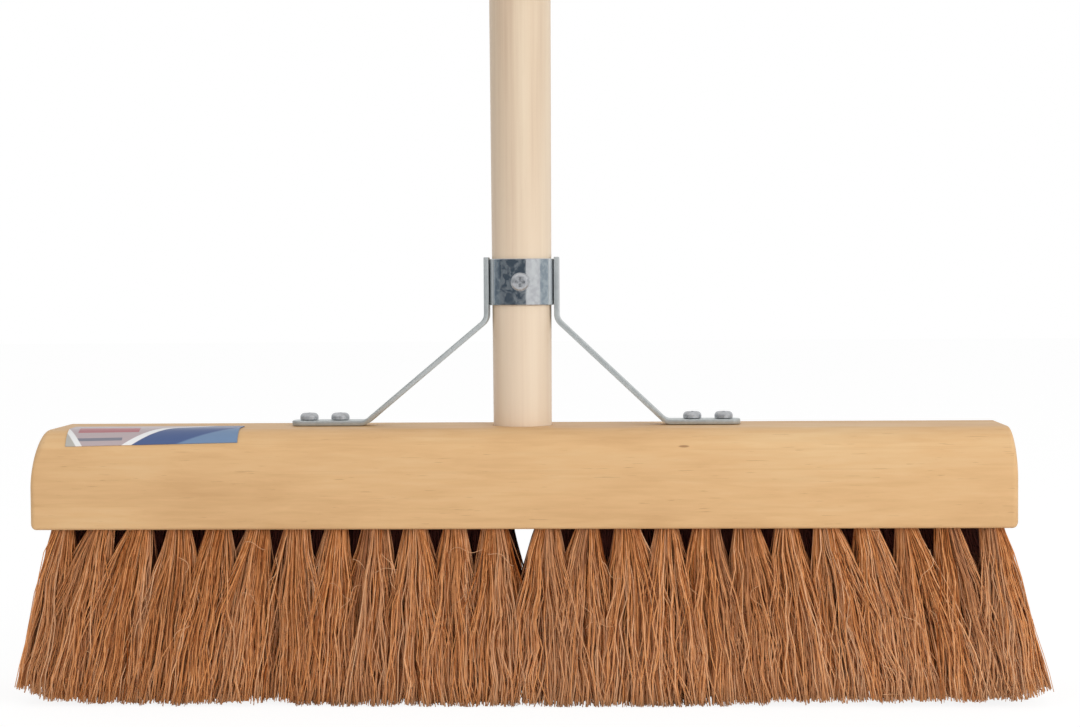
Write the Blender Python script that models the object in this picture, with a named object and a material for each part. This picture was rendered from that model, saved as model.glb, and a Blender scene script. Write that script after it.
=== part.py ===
"""Coco push broom: a wood block with five rows of coco fibre tufts, a round wood handle and a steel brace.

The broom stands on its bristle tips. X runs along the block, the label faces -Y and Z points up the handle.
The origin is on the floor, in the middle of the bristles. All lengths are in metres and angles in degrees.
"""

import math
import random

import bmesh
import bpy
from mathutils import Matrix, Vector

# Fits
seat_gap = 0.0003
cut_overrun = 0.002
merge_distance = 0.00001

# Block
block_length = 0.450
block_width = 0.066
block_height = 0.0455
block_shoulder_radius = 0.013
block_foot_radius = 0.0015
left_end_run = 0.0075
left_end_drop = 0.024
right_end_run = 0.0035
right_end_drop = 0.018
block_rim = 0.003
end_rim = 0.004

# Bristles
bristle_trim = 0.080
backing_thickness = 0.004
row_count = 5
tuft_pitch = 0.01815
centre_half_gap = 0.0122
tuft_end_margin = 0.011
strand_width = 0.0034
end_lean = 13.5
side_lean = 7.0
lean_start_share = 0.45
root_spread_share = 0.17
tip_spread_share = 0.25
tip_stray_share = 0.045
root_width_share = 0.80
belly_width_share = 1.0
tip_width_share = 0.90
belly_height_share = 0.55
belly_lag_share = 0.40
bristle_seed = 7

# Handle
handle_diameter = 0.0286
handle_length = 1.400
handle_seat_diameter = 0.0272
handle_end_diameter = 0.0256
handle_taper_run = 0.200
handle_end_chamfer = 0.0015
handle_top_round = 0.009
socket_web = 0.0077

# Brace
collar_height = 0.0215
collar_clear_height = 0.0561
collar_wall = 0.0007
strap_width = 0.0127
strap_thickness = 0.0023
strap_above_collar = 0.0008
strap_bend_radius = 0.006
strap_corner_radius = 0.002
strap_bend_drop = 0.0068
left_foot_end = 0.1080
right_foot_end = 0.1015
foot_length = 0.0345

# Screws
screw_head_diameter = 0.0086
screw_head_height = 0.0031
screw_shank_diameter = 0.0040
screw_point_length = 0.004
foot_screw_length = 0.018
collar_screw_length = 0.014
screw_spacing = 0.0146
screw_end_margin = 0.0077
recess_span_share = 0.56
recess_arm_share = 0.17
recess_depth_share = 0.55
pan_head_shares = ((1.0, 0.0), (1.0, 0.35), (0.93, 0.66), (0.76, 0.92), (0.55, 1.0))

# Label
label_length = 0.079
label_end_margin = 0.0165
label_thickness = 0.0004
label_strap_clearance = 0.0015
label_wrap = 60.0

# Facets
handle_sides = 40
collar_sides = 48
screw_sides = 20
shoulder_steps = 6
foot_steps = 2
end_steps = 7
top_round_steps = 5
bend_steps = 5
strap_corner_steps = 3
label_steps = 8
strand_sides = 3

# Places worked out from the sizes above
block_bottom = bristle_trim
block_top = block_bottom + block_height
half_length = block_length / 2
half_width = block_width / 2
flat_half_width = half_width - block_shoulder_radius
label_top_lap = flat_half_width - strap_width / 2 - label_strap_clearance
row_pitch = (block_width - 2 * block_rim) / row_count
recess_top = block_bottom + backing_thickness + seat_gap
socket_floor = recess_top + socket_web
handle_bottom = socket_floor + seat_gap
handle_top = handle_bottom + handle_length
taper_top = block_top + handle_taper_run
collar_bottom = block_top + collar_clear_height
collar_top = collar_bottom + collar_height
collar_middle = (collar_bottom + collar_top) / 2
strap_bend = collar_bottom - strap_bend_drop
strap_top = collar_top + strap_above_collar
screw_head_radius = screw_head_diameter / 2
screw_shank_radius = screw_shank_diameter / 2
screw_hole_radius = screw_shank_radius + seat_gap

# Finishes: base colour, roughness, metallic
wood_finish = ((0.62, 0.42, 0.24), 0.62, 0.0)
handle_finish = ((0.73, 0.58, 0.42), 0.50, 0.0)
zinc_finish = ((0.36, 0.38, 0.40), 0.38, 0.9)
collar_finish = ((0.22, 0.24, 0.27), 0.32, 0.9)
fibre_finish = ((0.34, 0.14, 0.06), 0.85, 0.0)
dark_fibre_finish = ((0.24, 0.09, 0.04), 0.88, 0.0)
label_finish = ((0.30, 0.42, 0.62), 0.35, 0.0)


def clear_scene():
    """Start from an empty scene."""
    for item in list(bpy.data.objects):
        bpy.data.objects.remove(item, do_unlink=True)


def finish_material(name, finish):
    """Return a Principled material with one colour, roughness and metallic value."""
    colour, roughness, metallic = finish
    material = bpy.data.materials.new(name)
    material.use_nodes = True
    shader = material.node_tree.nodes["Principled BSDF"]
    shader.inputs["Base Color"].default_value = (*colour, 1.0)
    shader.inputs["Roughness"].default_value = roughness
    shader.inputs["Metallic"].default_value = metallic
    material.diffuse_color = (*colour, 1.0)
    return material


def add_piece(name, bm, finish, smooth_angle=35.0):
    """Turn a bmesh into a named object with its own material."""
    bmesh.ops.recalc_face_normals(bm, faces=bm.faces[:])
    mesh = bpy.data.meshes.new(name)
    bm.to_mesh(mesh)
    bm.free()
    mesh.shade_smooth()
    mesh.set_sharp_from_angle(angle=math.radians(smooth_angle))
    piece = bpy.data.objects.new(name, mesh)
    bpy.context.collection.objects.link(piece)
    piece.data.materials.append(finish_material(name, finish))
    return piece


def add_cutter(name, bm):
    """Turn a bmesh into a hidden guide that only cuts or joins."""
    bmesh.ops.recalc_face_normals(bm, faces=bm.faces[:])
    mesh = bpy.data.meshes.new(name)
    bm.to_mesh(mesh)
    bm.free()
    cutter = bpy.data.objects.new(name, mesh)
    bpy.context.collection.objects.link(cutter)
    cutter.hide_render = True
    cutter.display_type = "WIRE"
    return cutter


def combine(piece, cutter, operation="DIFFERENCE"):
    """Cut a guide out of a piece, or join it to the piece."""
    modifier = piece.modifiers.new(cutter.name, "BOOLEAN")
    modifier.operation = operation
    modifier.solver = "EXACT"
    modifier.object = cutter


def turned(profile, sides):
    """Spin a profile of (radius, height) points about Z into a closed body."""
    bm = bmesh.new()
    verts = [bm.verts.new((radius, 0, height)) for radius, height in profile]
    edges = [bm.edges.new(pair) for pair in zip(verts, verts[1:])]
    if profile[0][0] > 0:
        edges.append(bm.edges.new((verts[-1], verts[0])))
    bmesh.ops.spin(
        bm,
        geom=verts + edges,
        cent=(0, 0, 0),
        axis=(0, 0, 1),
        angle=math.tau,
        steps=sides,
        use_merge=True,
    )
    bmesh.ops.remove_doubles(bm, verts=bm.verts[:], dist=merge_distance)
    return bm


def grow(bm, face):
    """Extrude a face without moving it, and return the new face."""
    grown = bmesh.ops.extrude_face_region(bm, geom=[face, *face.edges, *face.verts])["geom"]
    return next(item for item in grown if isinstance(item, bmesh.types.BMFace))


def extruded(outline, axis, length):
    """Extrude a closed outline of 3-D points along an axis."""
    bm = bmesh.new()
    face = grow(bm, bm.faces.new([bm.verts.new(point) for point in outline]))
    bmesh.ops.translate(bm, verts=face.verts[:], vec=Vector(axis) * length)
    return bm


def box(low, high):
    """Return a closed box between two corners."""
    low = Vector(low)
    high = Vector(high)
    bm = bmesh.new()
    bmesh.ops.create_cube(bm, size=1)
    bmesh.ops.scale(bm, vec=high - low, verts=bm.verts[:])
    bmesh.ops.translate(bm, vec=(low + high) / 2, verts=bm.verts[:])
    return bm


def drill(radius, low, high, matrix=None):
    """Return a closed drill along Z from low to high, then placed by a matrix."""
    bm = turned([(0, low), (radius, low), (radius, high), (0, high)], screw_sides)
    if matrix is not None:
        bmesh.ops.transform(bm, matrix=matrix, verts=bm.verts[:])
    return bm


def arc(centre, radius, start, end, steps):
    """Return points on an arc in a plane, from one angle to another."""
    points = []
    for step in range(steps + 1):
        angle = math.radians(start + (end - start) * step / steps)
        points.append((centre[0] + radius * math.cos(angle), centre[1] + radius * math.sin(angle)))
    return points


def end_drop(x):
    """Return how far the top of the block falls towards its rounded ends."""
    run, drop = (left_end_run, left_end_drop) if x < 0 else (right_end_run, right_end_drop)
    inside = max(0, abs(x) - (half_length - run)) / run
    return drop * (1 - math.sqrt(max(0, 1 - inside * inside)))


def block_stations():
    """Return the places along X where the block's section is set."""
    stations = []
    for side, run in ((-1, left_end_run), (1, right_end_run)):
        for step in range(end_steps + 1):
            angle = math.pi / 2 * step / end_steps
            stations.append(side * (half_length - run + run * math.sin(angle)))
    return sorted(stations)


def block_section():
    """Return the block's section as (y, height) points, with round shoulders and eased lower edges."""
    shoulder_height = block_height - block_shoulder_radius
    foot_y = half_width - block_foot_radius
    points = arc((flat_half_width, shoulder_height), block_shoulder_radius, 0, 90, shoulder_steps)
    points += arc((-flat_half_width, shoulder_height), block_shoulder_radius, 90, 180, shoulder_steps)
    points += arc((-foot_y, block_foot_radius), block_foot_radius, 180, 270, foot_steps)
    points += arc((foot_y, block_foot_radius), block_foot_radius, 270, 360, foot_steps)
    return points


def make_block():
    """Model the wood block, its handle socket, screw holes and the recess for the tuft backings."""
    stations = block_stations()
    section = block_section()
    bm = bmesh.new()
    face = bm.faces.new([bm.verts.new((stations[0], y, block_bottom + height)) for y, height in section])
    for station in stations[1:]:
        face = grow(bm, face)
        for vert in face.verts:
            vert.co.x = station
    for vert in bm.verts:
        squeeze = 1 - end_drop(vert.co.x) / block_height
        vert.co.z = block_bottom + (vert.co.z - block_bottom) * squeeze
    block = add_piece("block", bm, wood_finish)

    socket = turned(
        [
            (0, socket_floor),
            (handle_end_diameter / 2 + seat_gap, socket_floor),
            (handle_seat_diameter / 2 + seat_gap, block_top),
            (handle_seat_diameter / 2 + seat_gap, block_top + cut_overrun),
            (0, block_top + cut_overrun),
        ],
        handle_sides,
    )
    combine(block, add_cutter("socket_cutter", socket))

    recess_x = half_length - end_rim
    recess_y = half_width - block_rim
    recess = box((-recess_x, -recess_y, block_bottom - cut_overrun), (recess_x, recess_y, recess_top))
    combine(block, add_cutter("backing_recess_cutter", recess))

    for name, x in foot_screw_places():
        hole_floor = strap_seat_top() - foot_screw_length - seat_gap
        hole = drill(screw_hole_radius, hole_floor, block_top + cut_overrun, Matrix.Translation((x, 0, 0)))
        combine(block, add_cutter(f"{name}_pilot_cutter", hole))
    return block


def handle_radius(z):
    """Return the handle's radius at a height above the block's top."""
    share = min(1, max(0, (z - block_top) / handle_taper_run))
    return (handle_seat_diameter + (handle_diameter - handle_seat_diameter) * share) / 2


def make_handle():
    """Model the round handle, tapered into its socket, with a rounded top and a flat tip."""
    end_radius = handle_end_diameter / 2
    top_radius = handle_diameter / 2
    profile = [
        (0, handle_bottom),
        (end_radius - handle_end_chamfer, handle_bottom),
        (end_radius, handle_bottom + handle_end_chamfer),
        (handle_seat_diameter / 2, block_top),
        (handle_radius(collar_bottom), collar_bottom),
        (handle_radius(collar_top), collar_top),
        (top_radius, taper_top),
    ]
    round_centre = (top_radius - handle_top_round, handle_top - handle_top_round)
    profile += arc(round_centre, handle_top_round, 0, 90, top_round_steps)
    profile.append((0, handle_top))
    handle = add_piece("handle", turned(profile, handle_sides), handle_finish)

    reach = collar_screw_front() + collar_screw_length + seat_gap
    pilot = drill(screw_hole_radius, 0, handle_diameter, front_matrix(reach))
    combine(handle, add_cutter("collar_screw_pilot_cutter", pilot))
    return handle


def collar_inner_radius():
    """Return the collar's bore radius, clear of the handle."""
    return handle_radius(collar_top) + seat_gap


def collar_outer_radius():
    """Return the collar's outer radius."""
    return collar_inner_radius() + collar_wall


def collar_screw_front():
    """Return the y at which the collar screw's head sits, in front of the collar."""
    return -collar_outer_radius() - seat_gap


def front_matrix(y):
    """Return a matrix that turns +Z towards the front, -Y, from a point on the collar screw's axis."""
    return Matrix.Translation((0, y, collar_middle)) @ Matrix.Rotation(math.pi / 2, 4, "X")


def make_collar():
    """Model the sheet steel collar round the handle, with its screw hole."""
    inner = collar_inner_radius()
    outer = collar_outer_radius()
    profile = [(inner, collar_bottom), (outer, collar_bottom), (outer, collar_top), (inner, collar_top)]
    collar = add_piece("brace_collar", turned(profile, collar_sides), collar_finish)
    hole = drill(screw_hole_radius, 0, outer, front_matrix(-inner / 2))
    combine(collar, add_cutter("collar_hole_cutter", hole))
    return collar


def strap_seat_top():
    """Return the height of the top face of the strap's feet."""
    return block_top + seat_gap + strap_thickness


def rounded_path(corners, radius):
    """Return a path with each inner corner turned into an arc of the given middle radius."""
    path = [corners[0]]
    for before, corner, after in zip(corners, corners[1:], corners[2:]):
        into = (corner - before).normalized()
        out = (after - corner).normalized()
        half_turn = into.angle(out) / 2
        trim = radius * math.tan(half_turn)
        for step in range(bend_steps + 1):
            turn = half_turn * (2 * step / bend_steps - 1)
            along = trim * math.sin(turn) / math.sin(half_turn) * math.cos(half_turn)
            rise = radius * (math.cos(turn) - math.cos(half_turn))
            tangent = (into + out).normalized()
            inward = (out - into).normalized()
            apex = corner + inward * (trim * math.sin(half_turn))
            path.append(apex + tangent * along - inward * rise)
    path.append(corners[-1])
    return path


def offset_path(path, distance):
    """Return the path moved sideways by a distance, square to its run."""
    moved = []
    for index, point in enumerate(path):
        before = path[max(0, index - 1)]
        after = path[min(len(path) - 1, index + 1)]
        into = (point - before).normalized() if index > 0 else (after - point).normalized()
        out = (after - point).normalized() if index < len(path) - 1 else into
        tangent = (into + out).normalized()
        spread = distance / tangent.dot(out)
        moved.append(point + Vector((-tangent.y, tangent.x)) * spread)
    return moved


def make_leg(name, side, foot_end):
    """Model one bent steel strap: down the collar's side, out to the block and along it as a foot."""
    half = strap_thickness / 2
    upright = collar_outer_radius() + seat_gap + half
    foot_height = block_top + seat_gap + half
    foot_bend = foot_end - foot_length
    corners = [
        Vector((upright, strap_top)),
        Vector((upright, strap_bend)),
        Vector((foot_bend, foot_height)),
        Vector((foot_end, foot_height)),
    ]
    path = rounded_path(corners, strap_bend_radius)
    outline = offset_path(path, half) + list(reversed(offset_path(path, -half)))
    points = [(side * point.x, -strap_width / 2, point.y) for point in outline]
    bm = extruded(points, (0, 1, 0), strap_width)
    tip_edges = [
        edge
        for edge in bm.edges
        if all(abs(abs(vert.co.x) - foot_end) < seat_gap for vert in edge.verts)
        and abs(edge.verts[0].co.y - edge.verts[1].co.y) < seat_gap
    ]
    bmesh.ops.bevel(
        bm,
        geom=tip_edges,
        offset=strap_corner_radius,
        offset_type="OFFSET",
        segments=strap_corner_steps,
        profile=0.5,
        affect="EDGES",
    )
    leg = add_piece(name, bm, zinc_finish)
    for screw_name, x in foot_screw_places():
        if x * side > 0:
            low = block_top - cut_overrun
            high = strap_seat_top() + cut_overrun
            hole = drill(screw_hole_radius, low, high, Matrix.Translation((x, 0, 0)))
            combine(leg, add_cutter(f"{screw_name}_strap_cutter", hole))
    return leg


def foot_screw_places():
    """Return the name and x of each screw that holds the feet to the block."""
    places = []
    for word, side, foot_end in (("left", -1, left_foot_end), ("right", 1, right_foot_end)):
        outer = foot_end - screw_end_margin
        places.append((f"foot_screw_{word}_outer", side * outer))
        places.append((f"foot_screw_{word}_inner", side * (outer - screw_spacing)))
    return places


def cross_outline(span, arm):
    """Return the outline of a plus-shaped recess, as points in a plane."""
    quarter = [(span, -arm), (span, arm), (arm, arm)]
    points = []
    for turn in range(4):
        spin = Matrix.Rotation(math.pi / 2 * turn, 2)
        points += [spin @ Vector(point) for point in quarter]
    return points


def make_screw(name, length, matrix):
    """Model a pan-head wood screw along Z, head up, its seat at height 0, then placed by a matrix."""
    profile = [
        (0, -length),
        (screw_shank_radius, screw_point_length - length),
        (screw_shank_radius, 0),
    ]
    profile += [(screw_head_radius * wide, screw_head_height * high) for wide, high in pan_head_shares]
    profile.append((0, screw_head_height))
    bm = turned(profile, screw_sides)
    bmesh.ops.transform(bm, matrix=matrix, verts=bm.verts[:])
    screw = add_piece(name, bm, zinc_finish)

    floor = screw_head_height * (1 - recess_depth_share)
    span = screw_head_radius * recess_span_share
    arm = screw_head_radius * recess_arm_share
    points = [(point[0], point[1], floor) for point in cross_outline(span, arm)]
    recess = extruded(points, (0, 0, 1), screw_head_height)
    bmesh.ops.transform(recess, matrix=matrix, verts=recess.verts[:])
    combine(screw, add_cutter(f"{name}_recess_cutter", recess))
    return screw


def make_screws():
    """Place the four foot screws and the collar screw."""
    for name, x in foot_screw_places():
        seat = strap_seat_top() + seat_gap
        make_screw(name, foot_screw_length, Matrix.Translation((x, 0, seat)))
    make_screw("collar_screw", collar_screw_length, front_matrix(collar_screw_front()))


def make_label():
    """Model the thin label, wrapped from the block's top over its front shoulder."""
    shoulder = (-flat_half_width, block_top - block_shoulder_radius)
    inner = block_shoulder_radius + seat_gap
    outer = inner + label_thickness
    lap_y = -flat_half_width + label_top_lap
    far = 90 + label_wrap
    outline = [(lap_y, block_top + seat_gap)]
    outline += arc(shoulder, inner, 90, far, label_steps)
    outline += arc(shoulder, outer, far, 90, label_steps)
    outline.append((lap_y, block_top + seat_gap + label_thickness))
    left = label_end_margin - half_length
    bm = extruded([(left, y, z) for y, z in outline], (1, 0, 0), label_length)
    return add_piece("label", bm, label_finish)


def lean_share(x):
    """Return how much of the end lean a tuft has: none in the middle, all at the end of the block."""
    start = half_length * lean_start_share
    share = min(1, max(0, (abs(x) - start) / (half_length - tuft_end_margin - start)))
    return share * share * (3 - 2 * share)


def tuft_places(row):
    """Return the distances from the middle at which one half of a row has its tufts."""
    first = centre_half_gap + (tuft_pitch / 2 if row % 2 else 0)
    count = 1 + math.floor((half_length - tuft_end_margin - first) / tuft_pitch)
    return [first + tuft_pitch * index for index in range(count)]


def add_strand(bm, root, tip):
    """Add one strand from inside its backing, through a fuller and less spread belly, to its flat tip."""
    facing = Matrix.Rotation(math.pi if tip.y < 0 else 0, 4, "Z")
    made = bmesh.ops.create_circle(
        bm,
        cap_ends=True,
        segments=strand_sides,
        radius=strand_width / 2,
        matrix=Matrix.Translation(root) @ facing @ Matrix.Scale(root_width_share, 4),
    )
    face = made["verts"][0].link_faces[0]
    belly = root.lerp(tip, belly_lag_share)
    belly.z = root.z + (tip.z - root.z) * (1 - belly_height_share)
    for target, growth in (
        (belly, belly_width_share / root_width_share),
        (tip, tip_width_share / belly_width_share),
    ):
        face = grow(bm, face)
        moved = face.verts[:]
        bmesh.ops.translate(bm, vec=target - face.calc_center_median(), verts=moved)
        bmesh.ops.scale(bm, vec=(growth, growth, 1), space=Matrix.Translation(-target), verts=moved)


def make_tuft_row(row, side, strays):
    """Model one half of a row: its strands, joined to the slice of backing that holds them."""
    middle = (row_count - 1) / 2
    y = (row - middle) * row_pitch
    out_y = (y > 0) - (y < 0)
    lean_y = math.radians(side_lean) * abs(row - middle) / middle
    fibres = bmesh.new()
    for index, x in enumerate(tuft_places(row)):
        lean_x = math.radians(end_lean) * lean_share(x)
        for out in (-1, 1):
            for across in (-1, 1):
                stray = strays[(abs(row - middle), index, out, across * out_y or 1)]
                root_x = x + out * tuft_pitch * root_spread_share
                root_y = y + across * row_pitch * root_spread_share
                tip_x = x + out * tuft_pitch * (tip_spread_share + stray[0])
                tip_x += bristle_trim * math.tan(lean_x)
                tip_y = y + across * row_pitch * (tip_spread_share + stray[1])
                tip_y += out_y * bristle_trim * math.tan(lean_y)
                root = Vector((side * root_x, root_y, block_bottom + backing_thickness / 2))
                add_strand(fibres, root, Vector((side * tip_x, tip_y, 0)))

    word = "left" if side < 0 else "right"
    name = f"tuft_row_{row + 1}_{word}"
    low_x, high_x = sorted((side * seat_gap / 2, side * (half_length - end_rim - seat_gap)))
    half_slice = (row_pitch - seat_gap) / 2
    low = (low_x, y - half_slice, block_bottom)
    high = (high_x, y + half_slice, block_bottom + backing_thickness)
    finish = fibre_finish if row % 2 == 0 else dark_fibre_finish
    backing = add_piece(name, box(low, high), finish)
    combine(backing, add_cutter(f"{name}_strands", fibres), "UNION")
    return backing


def stray_table():
    """Return small tip offsets, the same for mirrored tufts so that the broom stays balanced."""
    draw = random.Random(bristle_seed)
    middle = (row_count - 1) / 2
    table = {}
    for ring in sorted({abs(row - middle) for row in range(row_count)}):
        for index in range(len(tuft_places(0)) + 1):
            for out in (-1, 1):
                for across in (-1, 1):
                    shift = (draw.uniform(-1, 1) * tip_stray_share, draw.uniform(-1, 1) * tip_stray_share)
                    table[(ring, index, out, across)] = shift
    return table


def make_tufts():
    """Model all the rows of tufts, each as a left and a right half."""
    strays = stray_table()
    for row in range(row_count):
        for side in (-1, 1):
            make_tuft_row(row, side, strays)


def main():
    """Build the whole broom."""
    clear_scene()
    make_block()
    make_handle()
    make_collar()
    make_leg("brace_leg_left", -1, left_foot_end)
    make_leg("brace_leg_right", 1, right_foot_end)
    make_screws()
    make_label()
    make_tufts()


main()
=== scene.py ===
"""Coco push broom: smooth wood, zinc-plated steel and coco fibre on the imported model, and its stage.

Each operator makes one piece of the broom, or one group of like pieces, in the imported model's own frame:
X along the block, the label towards -Y, Z up the handle. Lengths are in metres and angles in degrees.
"""

import math

import bmesh
import bpy
import numpy as np
from mathutils import Matrix, Vector


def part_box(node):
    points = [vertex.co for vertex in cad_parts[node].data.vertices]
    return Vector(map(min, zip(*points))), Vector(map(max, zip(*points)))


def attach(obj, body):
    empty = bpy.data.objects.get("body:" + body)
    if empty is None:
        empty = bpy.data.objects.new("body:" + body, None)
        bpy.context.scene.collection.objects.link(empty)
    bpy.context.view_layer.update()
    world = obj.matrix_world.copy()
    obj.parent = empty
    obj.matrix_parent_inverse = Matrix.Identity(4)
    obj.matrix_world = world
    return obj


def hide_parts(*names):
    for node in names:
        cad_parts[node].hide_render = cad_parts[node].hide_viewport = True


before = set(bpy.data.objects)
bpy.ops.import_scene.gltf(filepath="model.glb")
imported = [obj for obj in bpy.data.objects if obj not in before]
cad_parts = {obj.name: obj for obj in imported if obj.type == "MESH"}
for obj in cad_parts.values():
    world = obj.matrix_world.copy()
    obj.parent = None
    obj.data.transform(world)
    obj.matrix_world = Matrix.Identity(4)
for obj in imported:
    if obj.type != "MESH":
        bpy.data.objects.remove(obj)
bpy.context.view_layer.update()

bl_info = {
    "name": "Coco push broom",
    "version": (1, 0, 0),
    "blender": (4, 5, 0),
    "location": "3D View > Sidebar > Broom",
    "description": "A push broom with a wood block, coco fibre tufts, a round handle and a steel brace",
    "category": "Add Mesh",
}


def corners_of(node):
    """Return a node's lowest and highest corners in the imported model."""
    return [Vector(corner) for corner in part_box(node)]


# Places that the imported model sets
block_low, block_high = corners_of("block")
handle_low, handle_high = corners_of("handle")
collar_low, collar_high = corners_of("brace_collar")
label_low, label_high = corners_of("label")
foot_screws = (
    "foot_screw_left_outer",
    "foot_screw_left_inner",
    "foot_screw_right_inner",
    "foot_screw_right_outer",
)
halves = ((-1, "left"), (1, "right"))
seat_gap = 0.0003
row_count = 5

# How finely the round pieces are made
socket_sides = 64
handle_sides = 96
collar_sides = 128
screw_sides = 40
drill_sides = 16
strand_sides = 3
top_steps = 12
bend_steps = 10
wrap_steps = 24


def size(name, default, description):
    """Return a length that the user can change."""
    return bpy.props.FloatProperty(
        name=name, description=description, default=default, unit="LENGTH", precision=4
    )


def share(name, default, description):
    """Return a plain number that the user can change."""
    return bpy.props.FloatProperty(name=name, description=description, default=default)


def turn(name, default, description):
    """Return an angle in degrees that the user can change."""
    return bpy.props.FloatProperty(name=name, description=description, default=default)


def count(name, default, description):
    """Return a whole number that the user can change."""
    return bpy.props.IntProperty(name=name, description=description, default=default, min=1)


def tint(name, default, description):
    """Return a linear colour that the user can change."""
    return bpy.props.FloatVectorProperty(
        name=name, description=description, default=default, size=3, subtype="COLOR", min=0.0, max=1.0
    )


class BroomBlock(bpy.types.PropertyGroup):
    """The wood block."""

    shoulder: size("Shoulder radius", 0.013, "Radius of the front and back top edges")
    foot: size("Foot radius", 0.0015, "Radius of the lower long edges")
    left_run: size("Left end run", 0.0075, "How far in from the left end the top starts to fall")
    left_drop: size("Left end drop", 0.024, "How far the top falls at the left end")
    right_run: size("Right end run", 0.0035, "How far in from the right end the top starts to fall")
    right_drop: size("Right end drop", 0.018, "How far the top falls at the right end")
    end_ease: size("End easing", 0.0028, "Radius of the edges round the flat ends")
    hole: size("Tuft hole", 0.0114, "Diameter of the holes that hold the tufts")
    hole_depth: size("Tuft hole depth", 0.009, "Depth of the holes that hold the tufts")
    colour: tint("Wood", (0.695, 0.430, 0.204), "Main colour of the planed wood")
    pale: tint("Pale wood", (0.750, 0.512, 0.268), "Colour of the palest streaks")
    dark: tint("Dark wood", (0.570, 0.330, 0.145), "Colour of the grain lines")


class BroomHandle(bpy.types.PropertyGroup):
    """The round handle."""

    seat_diameter: size("Seat diameter", 0.0272, "Diameter where the handle enters the block")
    taper_run: size("Taper run", 0.200, "Height above the block at which the taper ends")
    end_diameter: size("End diameter", 0.0256, "Diameter at the bottom of the socket")
    end_chamfer: size("End chamfer", 0.0015, "Chamfer at the handle's lower end")
    top_round: size("Top rounding", 0.009, "Radius of the rounded top")
    colour: tint("Wood", (0.695, 0.545, 0.392), "Main colour of the handle")
    pale: tint("Pale wood", (0.760, 0.622, 0.460), "Colour of the palest streaks")
    dark: tint("Dark wood", (0.590, 0.430, 0.300), "Colour of the grain lines")


class BroomBrace(bpy.types.PropertyGroup):
    """The collar and the two straps."""

    wall: size("Collar wall", 0.0009, "Thickness of the collar's sheet")
    thickness: size("Strap thickness", 0.0023, "Thickness of the flat strap")
    bend_drop: size("Bend drop", 0.0068, "How far below the collar the straps bend")
    bend_radius: size("Bend radius", 0.006, "Radius of the bends along the middle of the strap")
    corner: size("Corner radius", 0.0040, "Radius of the corners at the foot's end")
    edge: size("Edge radius", 0.0003, "Rounding of the strap's edges")
    foot: size("Foot length", 0.0345, "Length of the straps' flat feet")
    colour: tint("Zinc", (0.54, 0.56, 0.57), "Main colour of the zinc plating")
    dull: tint("Dull zinc", (0.46, 0.47, 0.49), "Colour of the plating's dull patches")
    strap: tint("Strap zinc", (0.53, 0.56, 0.56), "Colour of the straps' satin plating")


class BroomScrews(bpy.types.PropertyGroup):
    """The pan-head screws."""

    head: size("Head diameter", 0.0086, "Diameter of the heads")
    height: size("Head height", 0.0031, "Height of the heads")
    shank: size("Shank diameter", 0.0040, "Diameter of the shanks")
    point: size("Point length", 0.004, "Length of the pointed end")
    recess: size("Recess span", 0.0046, "Span of the cross recess")
    recess_arm: size("Recess arm", 0.0012, "Width of each arm of the recess")
    recess_depth: size("Recess depth", 0.0013, "Depth of the recess")
    colour: tint("Steel", (0.50, 0.51, 0.53), "Colour of the plated steel")


class BroomLabel(bpy.types.PropertyGroup):
    """The plain label over the block's front shoulder."""

    thickness: size("Thickness", 0.0004, "Thickness of the film")
    lap: size("Top lap", 0.01215, "How far the label reaches onto the flat top")
    wrap: turn("Wrap", 60.0, "Angle that the label covers on the shoulder")
    tilt: turn("Tilt", 1.3, "How far the label is stuck on askew")
    paper: tint("Ground", (0.455, 0.372, 0.382), "Pale ground of the label")
    blue: tint("Blue", (0.053, 0.094, 0.228), "Blue field")
    sky: tint("Light blue", (0.146, 0.232, 0.376), "Lighter blue field")
    red: tint("Red", (0.40, 0.135, 0.150), "Red bars")


class BroomFibres(bpy.types.PropertyGroup):
    """The coco fibre tufts."""

    pitch: size("Tuft pitch", 0.01815, "Distance between tufts in a row")
    middle_gap: size("Middle gap", 0.0122, "Distance from the middle to the first tufts of the odd rows")
    row_pitch: size("Row pitch", 0.012, "Distance between rows")
    end_margin: size("End margin", 0.011, "Least distance from a tuft to the block's end")
    root: size("Root radius", 0.0057, "Radius of a tuft where it leaves its hole")
    fan_x: share("Fan along", 0.185, "How fast a tuft widens along the block")
    fan_y: share("Fan across", 0.062, "How fast a tuft widens across the block")
    lean_x: share("End lean", 0.195, "How far the tufts at the ends lean outwards")
    lean_y: share("Side lean", 0.082, "How far the outer rows lean outwards")
    left_slope: share("Left slope", 0.172, "Slope of the bristles' left end")
    right_slope: share("Right slope", 0.228, "Slope of the bristles' right end")
    width: size("Fibre width", 0.00052, "Mean width of a fibre")
    outer_fibres: count("Fibres in an outer tuft", 328, "Number of fibres in each tuft of the outer rows")
    inner_fibres: count("Fibres in an inner tuft", 250, "Number of fibres in each tuft of the inner rows")
    locks: count("Locks in a tuft", 18, "Number of locks that a tuft's fibres gather in")
    rings: count("Rings", 9, "Points along each fibre")
    strays: count("Strays", 46, "Number of pale curled fibres that stick out")
    dark: tint("Dark fibre", (0.310, 0.074, 0.008), "Colour of the darkest fibres")
    colour: tint("Fibre", (0.730, 0.308, 0.108), "Main colour of the fibres")
    pale: tint("Pale fibre", (0.850, 0.480, 0.262), "Colour of the palest fibres")
    dry: tint("Dry fibre", (0.500, 0.285, 0.170), "Colour of weathered fibres")
    # Painted shade: the colour that fibres deep between the tufts, near the block, are painted
    shade: tint("Hollow", (0.150, 0.045, 0.035), "Colour of the fibres deep between the tufts")
    seed: count("Seed", 7, "Start of the random draws")


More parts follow.
